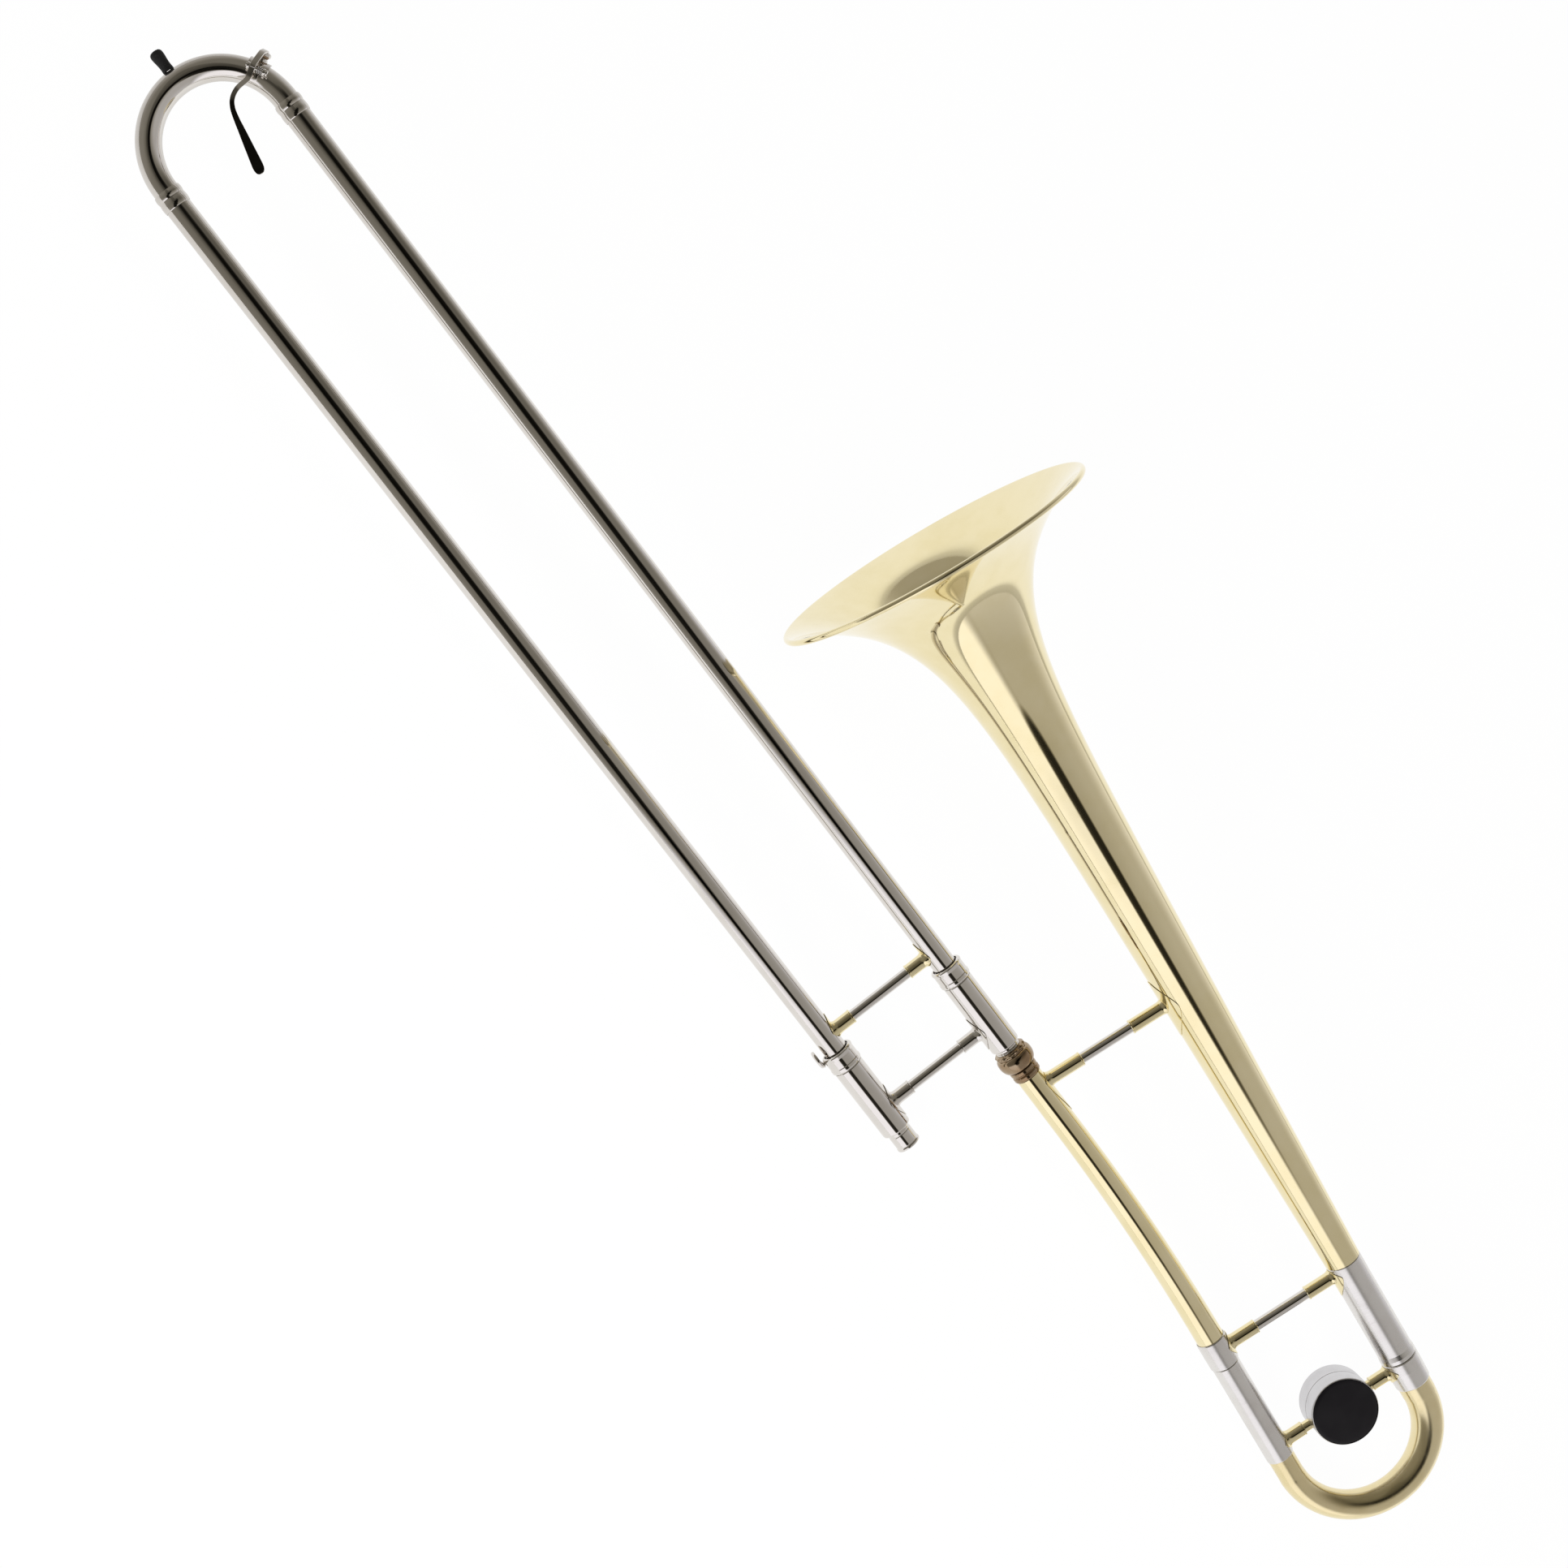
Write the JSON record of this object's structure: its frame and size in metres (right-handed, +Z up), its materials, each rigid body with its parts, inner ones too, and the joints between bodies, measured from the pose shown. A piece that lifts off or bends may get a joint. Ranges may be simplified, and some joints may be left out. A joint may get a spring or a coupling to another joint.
{
  "type": "tenor trombone",
  "caption": "Tenor trombone: telescoping hand slide with water key, flared brass bell on a bent neck, and a tuning slide with counterweight.",
  "frame": {"origin": "centre of the bounding box's base, on the plane that the instrument lies on", "axes": "+X level along the slide from the crook to the player, +Y across the slide towards the bell, +Z up; the instrument lies on its bell rim, mouthpiece-side barrel and counterweight, with the crook raised"},
  "size_m": [1.1426, 0.3278, 0.2085],
  "materials": {
    "black_cap": "plain black disc",
    "black_rubber": "matt black rubber",
    "cork": "natural cork",
    "dark_bronze": "dark toned brass",
    "felt": "dense felt ring",
    "lacquered_brass": "clear lacquered yellow brass",
    "nickel": "polished nickel silver",
    "satin_nickel": "satin nickel",
    "spring_steel": "bright steel wire"
  },
  "bodies": {
    "inner_slide": {"inner_tube_bell_side": "nickel", "inner_tube_mouthpiece_side": "nickel", "cork_barrel_bell_side": "nickel", "cork_barrel_mouthpiece_side": "nickel", "slide_felt_bell_side": "felt", "slide_felt_mouthpiece_side": "felt", "barrel_collar_bell_side": "nickel", "inner_brace_rod": "nickel", "inner_brace_socket_bell_side": "nickel", "inner_brace_socket_mouthpiece_side": "nickel", "mouthpiece_receiver": "nickel", "leadpipe": "lacquered_brass", "slide_tenon": "nickel"},
    "outer_slide": {"outer_tube_bell_side": "nickel", "outer_tube_mouthpiece_side": "nickel", "crook_bow": "nickel", "crook_ferrule_bell_side": "nickel", "crook_ferrule_mouthpiece_side": "nickel", "outer_end_ring_bell_side": "nickel", "outer_end_ring_mouthpiece_side": "nickel", "crook_bumper": "black_rubber", "bumper_stud": "nickel", "outer_brace_rod": "nickel", "outer_brace_socket_bell_side": "lacquered_brass", "outer_brace_socket_mouthpiece_side": "lacquered_brass", "water_key_nipple": "nickel", "water_key_saddle": "nickel", "water_key_pin": "nickel", "water_key_spring": "spring_steel"},
    "water_key": {"water_key_lever": "nickel", "water_key_cork": "cork"},
    "slide_lock": {"slide_lock_ring": "nickel", "slide_lock_knob": "nickel"},
    "lock_nut": {"bell_lock_nut": "dark_bronze"},
    "bell_section": {"neck_receiver": "dark_bronze", "gooseneck": "lacquered_brass", "upper_brace_rod": "nickel", "upper_brace_socket_neck_side": "lacquered_brass", "upper_brace_socket_bell_side": "lacquered_brass", "lower_brace_rod": "nickel", "lower_brace_socket_neck_side": "lacquered_brass", "lower_brace_socket_bell_side": "lacquered_brass", "neck_ferrule": "satin_nickel", "neck_tuning_leg": "nickel", "bell": "lacquered_brass", "bell_rim_wire": "lacquered_brass", "bell_tuning_sleeve": "satin_nickel"},
    "tuning_slide": {"tuning_bow": "lacquered_brass", "tuning_sleeve_neck_side": "satin_nickel", "tuning_leg_bell_side": "nickel", "tuning_ferrule_bell_side": "satin_nickel", "tuning_brace_rod": "lacquered_brass", "tuning_brace_socket_neck_side": "lacquered_brass", "tuning_brace_socket_bell_side": "lacquered_brass", "counterweight_front": "satin_nickel", "counterweight_back": "satin_nickel", "counterweight_cap": "black_cap", "counterweight_screw_upper": "spring_steel", "counterweight_screw_lower": "spring_steel"}
  },
  "joints": [
    {"name": "main_slide", "type": "slide", "parent": "inner_slide", "child": "outer_slide", "axis": [-0.9968, 0, 0.0804], "range_m": [0, 0.58]},
    {"name": "water_key_press", "type": "hinge", "parent": "outer_slide", "child": "water_key", "pos_m": [-0.52905, -0.07681, 0.10947], "axis": [0.888, 0.4532, 0.078], "range_deg": [0, 12], "stiffness_Nm_per_rad": 0.03, "springref_deg": -28.65},
    {"name": "slide_lock_turn", "type": "hinge", "parent": "inner_slide", "child": "slide_lock", "pos_m": [0.10672, -0.14883, 0.02244], "axis": [-0.9968, 0, 0.0804], "range_deg": [0, 50]},
    {"name": "lock_nut_turn", "type": "hinge", "parent": "inner_slide", "child": "lock_nut", "pos_m": [0.18855, -0.07018, 0.04181], "axis": [-0.9968, 0, 0.0804], "range_deg": [0, 180]},
    {"name": "bell_turn", "type": "hinge", "parent": "inner_slide", "child": "bell_section", "pos_m": [0.18855, -0.07018, 0.04181], "axis": [0.9968, 0, -0.0804], "range_deg": [-120, 120]},
    {"name": "tuning_slide_pull", "type": "slide", "parent": "bell_section", "child": "tuning_slide", "axis": [0.9887, -0.0993, -0.1126], "range_m": [0, 0.05]}
  ]
}
